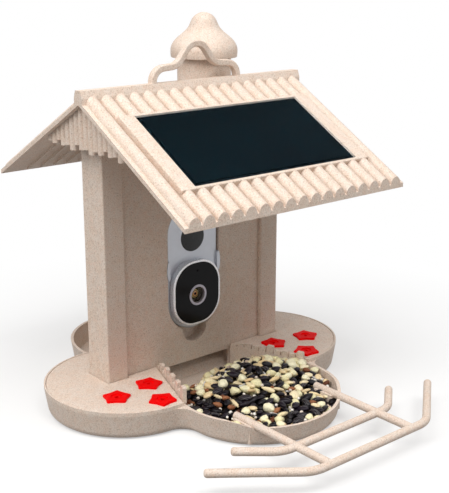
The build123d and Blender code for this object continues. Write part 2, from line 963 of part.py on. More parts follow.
with BuildPart() as ridge_cap:
    with BuildSketch(Plane.YZ.offset(-roof_half_w)) as cap_end:
        with BuildLine():
            Polyline(
                (-cap_half, slab_top(cap_half) + seat_gap),
                (0, slab_top(0) + seat_gap),
                (cap_half, slab_top(cap_half) + seat_gap),
                (cap_half, slab_top(cap_half) + seat_gap + cap_side),
                (cap_top_half, cap_z),
                (-cap_top_half, cap_z),
                (-cap_half, slab_top(cap_half) + seat_gap + cap_side),
                close=True,
            )
        make_face()
        fillet([v for v in cap_end.vertices() if v.Z > slab_top(0) + cap_edge_r], cap_edge_r)
    extrude(amount=2 * roof_half_w)
save(ridge_cap, "ridge_cap")

with BuildPart() as hanging_loop:
    with BuildLine(Plane.XZ) as loop_path:
        FilletPolyline(
            (-loop_half, cap_z - loop_t),
            (-loop_half + loop_lean, cap_z + loop_shoulder),
            (-loop_hump_half, cap_z + loop_shoulder + loop_lean),
            (-loop_crown_half, cap_z + loop_rise),
            (loop_crown_half, cap_z + loop_rise),
            (loop_hump_half, cap_z + loop_shoulder + loop_lean),
            (loop_half - loop_lean, cap_z + loop_shoulder),
            (loop_half, cap_z - loop_t),
            radius=(
                loop_shoulder_r,
                loop_hump_r,
                loop_crown_r,
                loop_crown_r,
                loop_hump_r,
                loop_shoulder_r,
            ),
        )
    with BuildSketch(
        Plane(origin=loop_path.line @ 0, x_dir=(0, 1, 0), z_dir=loop_path.line % 0)
    ):
        RectangleRounded(loop_d, loop_t, loop_edge_r)
    sweep()
    split(bisect_by=Plane.XY.offset(cap_z), keep=Keep.TOP)
save(hanging_loop, "hanging_loop")

# Gable boards: half-round battens of uneven length on a thin board
for side in sides:
    with BuildPart() as gable:
        with BuildSketch(Plane.YZ.offset(side * gable_in)) as board:
            for index in range(len(batten_drop_shares)):
                y = (index - (len(batten_drop_shares) - 1) / 2) * batten_pitch
                with Locations((y, batten_foot + batten_drop_shares[index] * batten_step)):
                    Rectangle(
                        batten_pitch, ridge_z, align=(Align.CENTER, Align.MIN)
                    )
        extrude(amount=side * gable_t)
        for index in range(len(batten_drop_shares)):
            y = (index - (len(batten_drop_shares) - 1) / 2) * batten_pitch
            foot = batten_foot + batten_drop_shares[index] * batten_step
            with BuildSketch(Plane.XY.offset(foot)):
                with Locations((side * (gable_in + gable_t), y)):
                    Circle(batten_r)
                    Rectangle(
                        batten_r,
                        2 * batten_r,
                        align=(Align.MAX if side > 0 else Align.MIN, Align.CENTER),
                        mode=Mode.SUBTRACT,
                    )
            extrude(amount=ridge_z - foot)
        for slope_side in sides:
            split(
                bisect_by=roof_plane(slope_side).offset(-roof_gap),
                keep=Keep.BOTTOM,
            )
    save(gable, f"gable_{side_names[side]}")

with BuildPart() as chimney:
    # Flange under the slab
    with BuildSketch(Plane.XY.offset(eave_z)):
        with Locations((chimney_x, chimney_y)):
            Circle(chimney_r + chimney_flange)
    extrude(amount=ridge_z - eave_z)
    split(bisect_by=roof_plane(1).offset(-seat_gap), keep=Keep.BOTTOM)
    # Tube from the flange to the mouth
    with BuildSketch(Plane.XY.offset(eave_z)):
        with Locations((chimney_x, chimney_y)):
            Circle(chimney_r)
    extrude(amount=chimney_top - eave_z)
    split(bisect_by=roof_plane(1).offset(-seat_gap - chimney_flange_t), keep=Keep.TOP)
    with BuildSketch(Plane.XY.offset(chimney_top)):
        with Locations((chimney_x, chimney_y)):
            Circle(chimney_r - chimney_wall)
    extrude(amount=eave_z - chimney_top, mode=Mode.SUBTRACT)
save(chimney, "chimney")

cap_axis = Axis((chimney_x, chimney_y, 0), (0, 0, 1))
plug_r = chimney_r - chimney_wall - plug_gap
with BuildPart() as chimney_cap:
    with BuildSketch(
        Plane(origin=(chimney_x, chimney_y, 0), x_dir=(1, 0, 0), z_dir=(0, -1, 0))
    ):
        with BuildLine():
            bell = Spline(
                *[
                    (bell_r * r_share, bell_foot + (bell_top - bell_foot) * z_share)
                    for r_share, z_share in zip(bell_r_shares, bell_z_shares)
                ]
            )
            Polyline(
                bell @ 1,
                (0, chimney_top + bell_wall),
                (plug_r - plug_wall, chimney_top + bell_wall),
                (plug_r - plug_wall, chimney_top - plug_l),
                (plug_r, chimney_top - plug_l),
                (plug_r, chimney_top + seat_gap),
                (bell_r - bell_wall, chimney_top + seat_gap),
                (bell_r * bell_r_shares[0] - bell_wall / 2, bell_foot),
                bell @ 0,
            )
        make_face()
    revolve(axis=cap_axis)
save(chimney_cap, "chimney_cap")

perch_runs = (
    ((-rail_x, rail_in_y), (-rail_x, outer_bar_y)),
    ((rail_x, rail_in_y), (rail_x, outer_bar_y)),
    (
        (-inner_tip_x, inner_tip_y),
        (-inner_bar_half, inner_bar_y),
        (inner_bar_half, inner_bar_y),
        (inner_tip_x, inner_tip_y),
    ),
    (
        (-outer_tip_x, outer_tip_y),
        (-outer_bar_half, outer_bar_y),
        (outer_bar_half, outer_bar_y),
        (outer_tip_x, outer_tip_y),
    ),
)
with BuildPart() as perch:
    for run in perch_runs:
        with BuildLine(Plane.XY.offset(perch_z)) as rod_path:
            if len(run) > 2:
                FilletPolyline(*run, radius=bar_bend_r)
            else:
                Line(*run)
        with BuildSketch(Plane(origin=rod_path.line @ 0, z_dir=rod_path.line % 0)):
            Circle(rod_r)
        sweep(path=rod_path.line)
    fillet(
        perch.edges()
        .filter_by(GeomType.CIRCLE)
        .filter_by(lambda edge: abs(edge.center().X) > inner_tip_x - rod_r),
        rod_end_r,
    )
save(perch, "perch")

with BuildPart() as camera_front:
    with BuildSketch(at_y(cam_split_y)):
        cam_outline()
    extrude(amount=cam_split_y - cam_face_y)
    fillet(camera_front.faces().sort_by(Axis.Y)[0].edges(), cam_edge_r)
    with BuildSketch(at_y(ear_front_y + ear_d)):
        ears()
    extrude(amount=ear_d)
    with BuildSketch(at_y(cam_split_y)):
        cam_outline(-shell_t)
    extrude(amount=cam_split_y - cam_face_y - shell_t, mode=Mode.SUBTRACT)
    # The ears stand clear of the face between them
    with BuildSketch(at_y(cam_face_y)):
        cam_outline(-cam_edge_r)
    extrude(amount=cam_face_y - ear_front_y, mode=Mode.SUBTRACT)
    # Block round the charging port, and bosses for the screws
    with BuildSketch(at_y(cam_split_y)):
        cam_outline(-shell_t / 2)
        with Locations((0, cam_foot)):
            Rectangle(
                2 * (port_half_w + plug_flange + shell_t),
                2 * (shell_t + port_block_h),
                mode=Mode.INTERSECT,
            )
    extrude(amount=cam_split_y - cam_face_y - shell_t / 2)
    with BuildSketch(at_y(cam_split_y)):
        with Locations(*cam_screw_places):
            Circle(boss_r)
    extrude(amount=cam_split_y - cam_face_y - shell_t / 2)
    with BuildSketch(at_y(cam_split_y)):
        with Locations(*cam_screw_places):
            Circle(screw_r + screw_fit)
    extrude(amount=screw_l / 2 + screw_fit, mode=Mode.SUBTRACT)
    # Openings for the lens, the motion window, the port and its plug
    with BuildSketch(at_y(cam_split_y)):
        with Locations((0, lens_z)):
            Circle(ring_bore_r + face_fit)
        with Locations((0, pir_z)):
            Circle(pir_r + face_fit)
    extrude(amount=cam_split_y, mode=Mode.SUBTRACT)
    with BuildSketch(Plane.XY.offset(cam_foot)):
        with Locations((0, port_y)):
            Rectangle(2 * (port_half_w + face_fit), 2 * (port_half_d + face_fit))
    extrude(amount=port_depth + shell_t, mode=Mode.SUBTRACT)
    with BuildSketch(Plane.XY.offset(cam_foot)):
        with Locations((0, port_y)):
            Rectangle(
                2 * (port_half_w + plug_flange + plug_fit),
                2 * (port_half_d + plug_flange + plug_fit),
            )
    extrude(amount=plug_flange_t + plug_fit, mode=Mode.SUBTRACT)
save(camera_front, "camera_front")

with BuildPart() as camera_back:
    with BuildSketch(at_y(cam_split_y)):
        cam_outline()
    extrude(amount=cam_split_y - cam_back_y)
    fillet(camera_back.faces().sort_by(Axis.Y)[-1].edges(), cam_edge_r)
    with BuildSketch(at_y(cam_split_y)):
        cam_outline(-shell_t)
    extrude(amount=cam_split_y - cam_back_y + shell_t, mode=Mode.SUBTRACT)
    with BuildSketch(at_y(cam_split_y)):
        with Locations(*cam_screw_places):
            Circle(boss_r)
    extrude(amount=cam_split_y - cam_back_y + shell_t / 2)
    with BuildSketch(at_y(cam_split_y)):
        with Locations(*cam_screw_places):
            Circle(screw_r + screw_fit)
        with Locations((button_x, button_z)):
            Circle(button_r + button_fit)
    extrude(amount=cam_split_y - cam_back_y, mode=Mode.SUBTRACT)
    with BuildSketch(at_y(cam_split_y + screw_l / 2)):
        with Locations(*cam_screw_places):
            Circle(screw_head_r + screw_fit)
    extrude(amount=cam_split_y - cam_back_y, mode=Mode.SUBTRACT)
save(camera_back, "camera_back")

with BuildPart() as camera_screws:
    with BuildSketch(at_y(cam_split_y + screw_l / 2)):
        with Locations(*cam_screw_places):
            Circle(screw_r)
    extrude(amount=screw_l)
    with BuildSketch(at_y(cam_split_y + screw_l / 2)):
        with Locations(*cam_screw_places):
            Circle(screw_head_r)
    extrude(amount=-screw_head_h)
save(camera_screws, "camera_screws")

# Face of the camera: a pale rim with the black disc in its mouth
with BuildPart() as camera_rim:
    with BuildSketch(at_y(cam_face_y)):
        disc_outline()
    extrude(amount=cam_face_y - disc_front_y - rim_back)
    fillet(camera_rim.faces().sort_by(Axis.Y)[0].edges(), rim_edge_r)
    with BuildSketch(at_y(cam_face_y)):
        disc_outline(rim_w + rim_ledge)
    extrude(amount=cam_face_y - disc_front_y, mode=Mode.SUBTRACT)
    with BuildSketch(at_y(disc_front_y + disc_t)):
        disc_outline(rim_w)
    extrude(amount=disc_t, mode=Mode.SUBTRACT)
save(camera_rim, "camera_rim")

with BuildPart() as camera_face:
    with BuildSketch(at_y(disc_front_y + disc_t)):
        disc_outline(rim_w + face_fit)
    extrude(amount=disc_t)
    fillet(camera_face.faces().sort_by(Axis.Y)[0].edges(), disc_edge_r)
    with BuildSketch(at_y(disc_front_y)):
        with Locations((0, lens_z)):
            Circle(ring_bore_r + ring_wall + face_fit)
    extrude(amount=-disc_t, mode=Mode.SUBTRACT)
    with BuildSketch(at_y(disc_front_y)):
        with Locations((0, spy_z)):
            Circle(spy_r)
    extrude(amount=-disc_t / 2, mode=Mode.SUBTRACT)
save(camera_face, "camera_face")

with BuildPart() as lens_ring:
    with BuildSketch(at_y(disc_front_y)):
        with Locations((0, lens_z)):
            Circle(ring_r)
            Circle(ring_bore_r, mode=Mode.SUBTRACT)
    extrude(amount=ring_proud)
    with BuildSketch(at_y(disc_front_y)):
        with Locations((0, lens_z)):
            Circle(ring_bore_r + ring_wall)
            Circle(ring_bore_r, mode=Mode.SUBTRACT)
    extrude(amount=-ring_l)
save(lens_ring, "lens_ring")

# Domed front glass of the lens, and the barrel behind it
glass_front_y = disc_front_y - ring_proud + lens_sink
glass_back_y = glass_front_y + lens_t
lens_r = ring_bore_r - face_fit
with BuildPart() as lens_glass:
    with BuildSketch(Plane.YZ):
        with BuildLine():
            TangentArc(
                (glass_front_y, lens_z),
                (glass_front_y + glass_dome, lens_z + lens_r),
                tangent=(0, 1),
            )
            Polyline(
                (glass_front_y, lens_z),
                (glass_back_y, lens_z),
                (glass_back_y, lens_z + lens_r),
                (glass_front_y + glass_dome, lens_z + lens_r),
            )
        make_face()
    revolve(axis=Axis((0, 0, lens_z), (0, 1, 0)))
save(lens_glass, "lens_glass")

with BuildPart() as lens_barrel:
    with BuildSketch(at_y(glass_back_y + face_fit)):
        with Locations((0, lens_z)):
            Circle(lens_r)
            Circle(lens_r - barrel_wall, mode=Mode.SUBTRACT)
    extrude(amount=-(board_y - sensor_t - glass_back_y - 2 * face_fit))
save(lens_barrel, "lens_barrel")

with BuildPart() as motion_window:
    with BuildSketch(Plane.YZ):
        with BuildLine():
            TangentArc(
                (cam_face_y - pir_dome, pir_z),
                (cam_face_y, pir_z + pir_r),
                tangent=(0, 1),
            )
            Polyline(
                (cam_face_y - pir_dome, pir_z),
                (cam_face_y + shell_t + pir_flange_t, pir_z),
                (cam_face_y + shell_t + pir_flange_t, pir_z + pir_r + pir_flange),
                (cam_face_y + shell_t, pir_z + pir_r + pir_flange),
                (cam_face_y + shell_t, pir_z + pir_r),
                (cam_face_y, pir_z + pir_r),
            )
        make_face()
    revolve(axis=Axis((0, 0, pir_z), (0, 1, 0)))
save(motion_window, "motion_window")

with BuildPart() as circuit_board:
    with BuildSketch(at_y(board_y)):
        with Locations((0, board_foot)):
            Rectangle(
                2 * board_half_w, board_top - board_foot, align=(Align.CENTER, Align.MIN)
            )
    extrude(amount=-board_t)
save(circuit_board, "circuit_board")

with BuildPart() as image_sensor:
    with BuildSketch(at_y(board_y)):
        with Locations((0, lens_z)):
            Rectangle(2 * sensor_half, 2 * sensor_half)
    extrude(amount=sensor_t)
save(image_sensor, "image_sensor")

with BuildPart() as battery:
    with BuildSketch(Plane.XY.offset(battery_foot)):
        with Locations((0, board_y + board_t + inside_gap + battery_r)):
            Circle(battery_r)
    extrude(amount=battery_l)
save(battery, "battery")

with BuildPart() as speaker:
    with BuildSketch(at_y(board_y + board_t)):
        with Locations((0, speaker_z)):
            Circle(speaker_r)
    extrude(amount=-speaker_t)
save(speaker, "speaker")

with BuildPart() as power_button:
    with BuildSketch(at_y(cam_back_y + button_proud)):
        with Locations((button_x, button_z)):
            Circle(button_r)
    extrude(amount=button_proud + shell_t + seat_gap)
    with BuildSketch(at_y(cam_back_y - shell_t - seat_gap)):
        with Locations((button_x, button_z)):
            Circle(button_r + button_flange)
    extrude(amount=button_flange_t)
save(power_button, "power_button")

with BuildPart() as charge_port:
    with BuildSketch(Plane.XY.offset(cam_foot + plug_flange_t + plug_fit)):
        with Locations((0, port_y)):
            Rectangle(2 * port_half_w, 2 * port_half_d)
    extrude(amount=port_depth)
    with BuildSketch(Plane.XY.offset(cam_foot + plug_flange_t + plug_fit)):
        with Locations((0, port_y)):
            Rectangle(2 * (port_half_w - port_skin), 2 * (port_half_d - port_skin))
    extrude(amount=port_depth - port_skin, mode=Mode.SUBTRACT)
save(charge_port, "charge_port")

with BuildPart() as port_plug:
    with BuildSketch(Plane.XY.offset(cam_foot)):
        with Locations((0, port_y)):
            Rectangle(
                2 * (port_half_w + plug_flange), 2 * (port_half_d + plug_flange)
            )
    extrude(amount=plug_flange_t)
    with BuildSketch(Plane.XY.offset(cam_foot + plug_flange_t)):
        with Locations((0, port_y)):
            Rectangle(
                2 * (port_half_w - port_skin - plug_fit),
                2 * (port_half_d - port_skin - plug_fit),
            )
    extrude(amount=plug_tongue)
    # Its outside follows the round end of the camera
    with BuildSketch(at_y(cam_split_y)):
        cam_outline(shell_t * 2)
        cam_outline(mode=Mode.SUBTRACT)
    extrude(amount=cam_split_y - cam_face_y, mode=Mode.SUBTRACT)
save(port_plug, "port_plug")
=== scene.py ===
import json
from math import cos, pi, radians, sin

import bpy
import numpy as np
from mathutils import Euler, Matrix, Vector


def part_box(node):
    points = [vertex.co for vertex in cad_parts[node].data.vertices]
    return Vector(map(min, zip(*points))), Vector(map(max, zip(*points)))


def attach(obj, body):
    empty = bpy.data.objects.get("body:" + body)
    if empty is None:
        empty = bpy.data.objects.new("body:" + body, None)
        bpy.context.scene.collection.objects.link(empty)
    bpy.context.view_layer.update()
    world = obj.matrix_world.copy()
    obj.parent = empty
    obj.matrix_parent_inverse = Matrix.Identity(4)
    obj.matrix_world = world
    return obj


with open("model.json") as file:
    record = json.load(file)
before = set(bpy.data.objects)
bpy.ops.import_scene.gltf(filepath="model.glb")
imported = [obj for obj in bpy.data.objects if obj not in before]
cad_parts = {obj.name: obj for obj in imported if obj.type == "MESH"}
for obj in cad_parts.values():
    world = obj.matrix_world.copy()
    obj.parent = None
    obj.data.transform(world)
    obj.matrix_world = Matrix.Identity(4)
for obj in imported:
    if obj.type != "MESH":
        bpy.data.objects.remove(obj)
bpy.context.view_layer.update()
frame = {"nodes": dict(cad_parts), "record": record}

nodes = frame["nodes"]
scene = bpy.context.scene

# Node helpers


def new_material(name, colour, rough, **sockets):
    """A principled material. Values that are the same all over go straight on the shader."""
    made = bpy.data.materials.new(name)
    made.use_nodes = True
    shader = made.node_tree.nodes["Principled BSDF"]
    shader.inputs["Base Color"].default_value = (*colour, 1)
    shader.inputs["Roughness"].default_value = rough
    for socket, value in sockets.items():
        shader.inputs[socket.replace("_", " ")].default_value = value
    return made, made.node_tree, shader


def feed(tree, shader, **values):
    """Links values that vary over the surface to the shader's sockets."""
    for socket, value in values.items():
        tree.links.new(value, shader.inputs[socket.replace("_", " ")])


def node(tree, kind, inputs=(), **settings):
    """One shader node, with its inputs linked or set."""
    made = tree.nodes.new("ShaderNode" + kind)
    for key, value in settings.items():
        setattr(made, key, value)
    for key, value in dict(inputs).items():
        if isinstance(value, bpy.types.NodeSocket):
            tree.links.new(value, made.inputs[key])
        else:
            made.inputs[key].default_value = value
    return made


def place(tree):
    """Where a point of the piece is, in metres."""
    return node(tree, "TexCoord").outputs["Object"]


def noise(tree, scale, detail=2.0, rough=0.5, where=None):
    """Soft noise between 0 and 1."""
    inputs = {"Vector": where or place(tree), "Scale": scale, "Detail": detail, "Roughness": rough}
    return node(tree, "TexNoise", inputs).outputs["Fac"]


def cells(tree, scale, **settings):
    """Small cells, each with a colour of its own and the distance from its middle."""
    return node(tree, "TexVoronoi", {"Vector": place(tree), "Scale": scale}, **settings)


def spread(tree, value, low, high, to_low, to_high):
    """A value stretched from one range to another, and kept inside it."""
    inputs = {"Value": value, "From Min": low, "From Max": high, "To Min": to_low, "To Max": to_high}
    return node(tree, "MapRange", inputs).outputs["Result"]


def sums(tree, operation, first, second=0.0):
    """One step of arithmetic."""
    return node(tree, "Math", {0: first, 1: second}, operation=operation).outputs[0]


def mix(tree, share, first, second):
    """Two colours mixed by a share."""
    first, second = (
        colour if isinstance(colour, bpy.types.NodeSocket) else (*colour, 1)
        for colour in (first, second)
    )
    return node(tree, "Mix", {0: share, 6: first, 7: second}, data_type="RGBA").outputs[2]


def bump(tree, shader, height, strength, distance):
    """Fine relief from a height."""
    made = node(tree, "Bump", {"Height": height, "Strength": strength, "Distance": distance})
    feed(tree, shader, Normal=made.outputs["Normal"])


def shade(colour, *factors):
    """A colour times one factor, or times one for each channel."""
    factors = factors * 3 if len(factors) == 1 else factors
    return tuple(min(1, c * k) for c, k in zip(colour, factors))


# Materials


def straw_plastic(colour, rough):
    """Moulded plastic with ground straw in it: a fine grain of beige, brown, rosy and pale."""
    made, tree, shader = new_material("straw_plastic", colour, rough, Specular_IOR_Level=0.2)
    blotch = noise(tree, 150, 3)
    grain = noise(tree, 1050, 2, 0.6)
    rosy = noise(tree, 620, 2, 0.5)
    flake = cells(tree, 420)
    picked = node(tree, "SeparateColor", {"Color": flake.outputs["Color"]}).outputs["Red"]
    near = spread(tree, flake.outputs["Distance"], 0.14, 0.30, 1, 0)
    speck = sums(tree, "MULTIPLY", near, spread(tree, picked, 0.62, 0.72, 0, 0.5))
    ground = mix(
        tree,
        spread(tree, blotch, 0.36, 0.64, 0, 1),
        shade(colour, 1.02, 1.03, 1.04),
        shade(colour, 1.0, 0.95, 0.91),
    )
    for share, tint in (
        (spread(tree, grain, 0.50, 0.30, 0, 0.55), (0.58, 0.50, 0.44)),
        (spread(tree, grain, 0.52, 0.68, 0, 0.65), (1.16, 1.20, 1.24)),
        (spread(tree, rosy, 0.56, 0.70, 0, 0.45), (1.06, 0.84, 0.78)),
        (speck, (0.50, 0.40, 0.33)),
    ):
        ground = mix(tree, share, ground, shade(colour, *tint))
    gloss = spread(tree, grain, 0.3, 0.7, rough - 0.06, rough + 0.12)
    feed(tree, shader, Base_Color=ground, Roughness=gloss)
    bump(tree, shader, grain, 0.22, 0.0004)
    return made


def moulded(name, colour, rough, worn=0.06, **sockets):
    """Plain moulded or painted surface: a slight mottle in colour and gloss, and a fine grain."""
    made, tree, shader = new_material(name, colour, rough, **sockets)
    soft = spread(tree, noise(tree, 90, 3), 0.35, 0.7, 0, 1)
    mottle = mix(tree, soft, colour, shade(colour, 1 - 2.5 * worn))
    fine = noise(tree, 1400, 2)
    gloss = spread(tree, fine, 0.3, 0.7, rough - worn, rough + worn)
    feed(tree, shader, Base_Color=mottle, Roughness=gloss)
    bump(tree, shader, fine, 0.08, 0.0002)
    return made


def rim_paint(front, side):
    """Silver paint that is pale on the edge that faces forward and plain silver on the flank."""
    made, tree, shader = new_material("rim_paint", front, 0.28, Metallic=0.35)
    facing = node(tree, "SeparateXYZ", {"Vector": node(tree, "TexCoord").outputs["Normal"]})
    forward = spread(tree, facing.outputs["Y"], -0.35, -0.75, 0, 1)
    fine = noise(tree, 1400, 2)
    worn = mix(tree, spread(tree, fine, 0.3, 0.7, 0, 1), front, shade(front, 0.94))
    gloss = spread(tree, fine, 0.3, 0.7, 0.25, 0.33)
    feed(tree, shader, Base_Color=mix(tree, forward, side, worn), Roughness=gloss)
    return made


def silicon(colour, sheen_colour, strip=0.0402):
    """Nearly black solar cells with a faint teal sheen and hairlines between the strips."""
    made, tree, shader = new_material("solar_silicon", colour, 0.4, Specular_IOR_Level=0.03)
    wide = node(tree, "SeparateXYZ", {"Vector": place(tree)}).outputs["X"]
    strips = sums(tree, "FRACT", sums(tree, "DIVIDE", wide, strip))
    away = sums(tree, "ABSOLUTE", sums(tree, "SUBTRACT", strips, 0.5))
    hairline = spread(tree, away, 0.490, 0.495, 0, 1)
    sheen = spread(tree, noise(tree, 9, 1), 0.35, 0.65, 0, 1)
    ground = mix(tree, sheen, colour, sheen_colour)
    ground = mix(tree, hairline, ground, shade(sheen_colour, 1.35))
    gloss = spread(tree, noise(tree, 300, 2), 0.3, 0.7, 0.35, 0.47)
    feed(tree, shader, Base_Color=ground, Roughness=gloss)
    return made


def clear(name, tint, rough, **sockets):
    """Clear glass with faint wipe marks in its gloss."""
    made, tree, shader = new_material(name, tint, rough, Transmission_Weight=1.0, **sockets)
    feed(tree, shader, Roughness=spread(tree, noise(tree, 60, 3), 0.4, 0.7, rough, rough + 0.015))
    return made


def circuit(lacquer, track_colour):
    """Green lacquer over copper tracks."""
    made, tree, shader = new_material("board_lacquer", lacquer, 0.35)
    edges = cells(tree, 260, feature="DISTANCE_TO_EDGE")
    track = spread(tree, edges.outputs["Distance"], 0.04, 0.07, 1, 0)
    feed(tree, shader, Base_Color=mix(tree, track, lacquer, track_colour))
    bump(tree, shader, track, 0.2, 0.0001)
    return made


silver = (0.60, 0.63, 0.69)
rim_white = (0.92, 0.92, 0.95)
cell_black, cell_teal = (0.0004, 0.0040, 0.0066), (0.0008, 0.0066, 0.0100)
window_black = (0.022, 0.024, 0.026)
finish = {
    "wheat_plastic": straw_plastic((0.752, 0.641, 0.552), 0.54),
    "red_plastic": moulded(
        "red_gloss", (0.90, 0.002, 0.003), 0.45, 0.03, Specular_IOR_Level=0.04
    ),
    "brass": moulded("turned_brass", (0.66, 0.46, 0.17), 0.3, Metallic=1.0),
    "screw_steel": moulded("screw_steel", (0.56, 0.56, 0.58), 0.32, Metallic=1.0),
    "panel_glass": clear("panel_glass", (0.92, 0.97, 1.0), 0.0, IOR=1.02, Specular_IOR_Level=0.1),
    "panel_cells": silicon(cell_black, cell_teal),
    "panel_back": moulded("back_sheet", (0.0012, 0.0050, 0.0075), 0.6, Specular_IOR_Level=0.05),
    "rubber": moulded("rubber_black", (0.03, 0.03, 0.03), 0.75),
    "silver_plastic": moulded("silver_paint", silver, 0.40, 0.03, Metallic=0.35),
    "rim_plastic": rim_paint(rim_white, silver),
    "black_gloss": moulded(
        "black_gloss", (0.006, 0.006, 0.007), 0.10, 0.02, Specular_IOR_Level=0.1
    ),
    "ring_metal": moulded("ring_satin", (0.40, 0.38, 0.43), 0.32, Metallic=0.5),
    "barrel_black": moulded("barrel_black", (0.012, 0.010, 0.009), 0.4),
    "lens_glass": clear("coated_lens", (0.95, 0.88, 0.78), 0.0, IOR=1.12),
    "window_plastic": moulded("smoked_window", window_black, 0.3, 0.03, Specular_IOR_Level=0.25),
    "board_green": circuit((0.010, 0.090, 0.035), (0.05, 0.22, 0.09)),
    "port_metal": moulded("plated_shell", (0.55, 0.55, 0.57), 0.3, Metallic=1.0),
}
slots = {entry["node"]: entry["material_slot"] for entry in frame["record"]["subparts"]}
for name, obj in nodes.items():
    obj.data.materials.clear()
    obj.data.materials.append(finish[slots[name]])


def mesh_piece(name, points, faces, material, body, rounded=True):
    """A new mesh that rides on one body."""
    mesh = bpy.data.meshes.new(name)
    mesh.from_pydata([tuple(map(float, point)) for point in points], [], faces)
    mesh.update()
    mesh.polygons.foreach_set("use_smooth", [rounded] * len(mesh.polygons))
    mesh.materials.append(material)
    made = bpy.data.objects.new(name, mesh)
    scene.collection.objects.link(made)
    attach(made, body)
    return made


# Seeds in the bowl. Its floor, round wall, fences and slot are where the tray has them.
rng = np.random.default_rng(11)
bowl_floor = 0.0030
bowl_y, bowl_r = -0.080, 0.0668
fence_in, fence_out = Vector((0.0415, 0.0030)), Vector((0.0675, -0.0680))
fence_run = (fence_out - fence_in).normalized()
fence_half = 0.0022
wall_from_y = -0.060
slot_y = 0.0040
rail_x, rail_end_y, rail_top = 0.0450, -0.1020, 0.0140
rail_half, rail_gap = 0.006, 0.001


def inside(x, y, room):
    """How far a point is inside the seed bowl, less some room: its wall, fences and slot."""
    wall = bowl_r - np.hypot(x, y - bowl_y)
    past_fence = (np.abs(x) - fence_in.x) * -fence_run.y + (y - fence_in.y) * fence_run.x
    fence = -past_fence - fence_half
    side = np.where(y < wall_from_y, np.minimum(wall, fence), fence)
    return np.minimum(side, slot_y - y) - room


def eased(share):
    """A share of 0 to 1 with soft ends."""
    share = np.clip(share, 0, 1)
    return share * share * (3 - 2 * share)


# The heap: its crest and how far the dome reaches, then the slope that comes out of the slot
crest = (0.010, -0.062)
dome_left, dome_right, dome_deep = 0.045, 0.060, 0.038
rim_level, dome_rise = 0.0122, 0.0168
slope_y, slope_fall = -0.020, 0.57
slope_left, slope_right = 0.0045, 0.0125
slope_from, slope_run = -0.025, 0.040


def heap(x, y):
    """The height that the seed lies at: a dome that leans right, and a slope out of the slot."""
    wide = np.where(x > crest[0], dome_right, dome_left)
    dome = np.exp(-(((x - crest[0]) / wide) ** 2) - ((y - crest[1]) / dome_deep) ** 2)
    slope = slope_left + (slope_right - slope_left) * eased((x - slope_from) / slope_run)
    level = np.minimum(rim_level + dome_rise * dome, slope + slope_fall * (slope_y - y))
    under_rail = (np.abs(np.abs(x) - rail_x) < rail_half) & (y < rail_end_y)
    return np.where(under_rail, np.minimum(level, rail_top - rail_gap), level)


# The pile as a grid of heights. Whole seeds fill its top layer, from this deep up to the heap.
cell = 0.00075
top_layer = 0.0085
xs = np.arange(-0.070, 0.0701, cell)
ys = np.arange(-0.150, 0.0101, cell)
grid_x, grid_y = np.meshgrid(xs, ys, indexing="ij")
target = heap(grid_x, grid_y)
height = np.maximum(target - top_layer, bowl_floor)


def lathe(profile, around, three_sided=0.0):
    """A closed body from (along, radius) pairs, one long and one wide, three-sided if asked."""
    points, faces = [], []
    for along, radius in profile[1:-1]:
        for k in range(around):
            a = 2 * pi * k / around
            r = radius * (1 + three_sided * cos(3 * a))
            points.append((along, r * cos(a), r * sin(a)))
    tail, tip = len(points), len(points) + 1
    points += [(profile[0][0], 0, 0), (profile[-1][0], 0, 0)]
    rings = len(profile) - 2
    for k in range(around):
        n = (k + 1) % around
        faces.append((tail, n, k))
        for j in range(rings - 1):
            a, b = j * around + k, j * around + n
            faces.append((a, b, b + around, a + around))
        last = (rings - 1) * around
        faces.append((tip, last + k, last + n))
    return np.array(points, float), faces


def seed_kind(profile, around, three_sided, size):
    """One kind of seed, with room for the bodies that are poured."""
    points, faces = lathe(profile, around, three_sided)
    poured = {"verts": [], "polys": [], "tint": [], "local": []}
    return {"points": points, "faces": faces, "size": size, **poured}


drop_form = (
    (-0.5, 0), (-0.46, 0.16), (-0.32, 0.38), (-0.08, 0.5), (0.18, 0.42), (0.38, 0.2), (0.5, 0)
)
oval_form = (
    (-0.5, 0), (-0.45, 0.22), (-0.28, 0.42), (0.0, 0.5), (0.28, 0.42), (0.45, 0.22), (0.5, 0)
)
heart_form = (
    (-0.5, 0), (-0.46, 0.26), (-0.30, 0.45), (-0.04, 0.5), (0.22, 0.36), (0.40, 0.16), (0.5, 0)
)
kinds = {
    "sunflower": seed_kind(drop_form, 10, 0.06, (0.0122, 0.0068, 0.0047)),
    "kernel": seed_kind(heart_form, 10, 0.0, (0.0135, 0.0054, 0.0041)),
    "flake": seed_kind(heart_form, 12, 0.05, (0.0104, 0.0082, 0.0036)),
    "hulled": seed_kind(heart_form, 9, 0.18, (0.0096, 0.0090, 0.0068)),
    "oat": seed_kind(oval_form, 8, 0.0, (0.0112, 0.0038, 0.0032)),
    "brown": seed_kind(heart_form, 9, 0.0, (0.0088, 0.0050, 0.0040)),
    "millet": seed_kind(oval_form, 8, 0.0, (0.0031, 0.0029, 0.0027)),
    "rice": seed_kind(oval_form, 7, 0.0, (0.0090, 0.0024, 0.0021)),
}
pale_shares = {"hulled": 0.40, "kernel": 0.22, "flake": 0.26, "oat": 0.10, "millet": 0.02}
dark_shares = {"sunflower": 0.72, "brown": 0.10, "millet": 0.10, "rice": 0.03, "oat": 0.05}

# How a seed lies: how far it leans, the room at its tips, the share of the pile under it that it
# stays above, how much of its thickness sinks in, and how far it may stand out of the heap
roll_most, pitch_most = 0.5, 0.40
tip_room = 0.0006
rests_on, sinks_in = 0.84, 0.16
may_stand_out = 0.0030

# Where seeds fall, and the way to the far side of the heap
reach_x, reach_near, reach_far = 0.068, -0.148, 0.003
far_x, far_y, far_half = 0.62, 0.78, 0.034
thinnest_layer = 0.0025


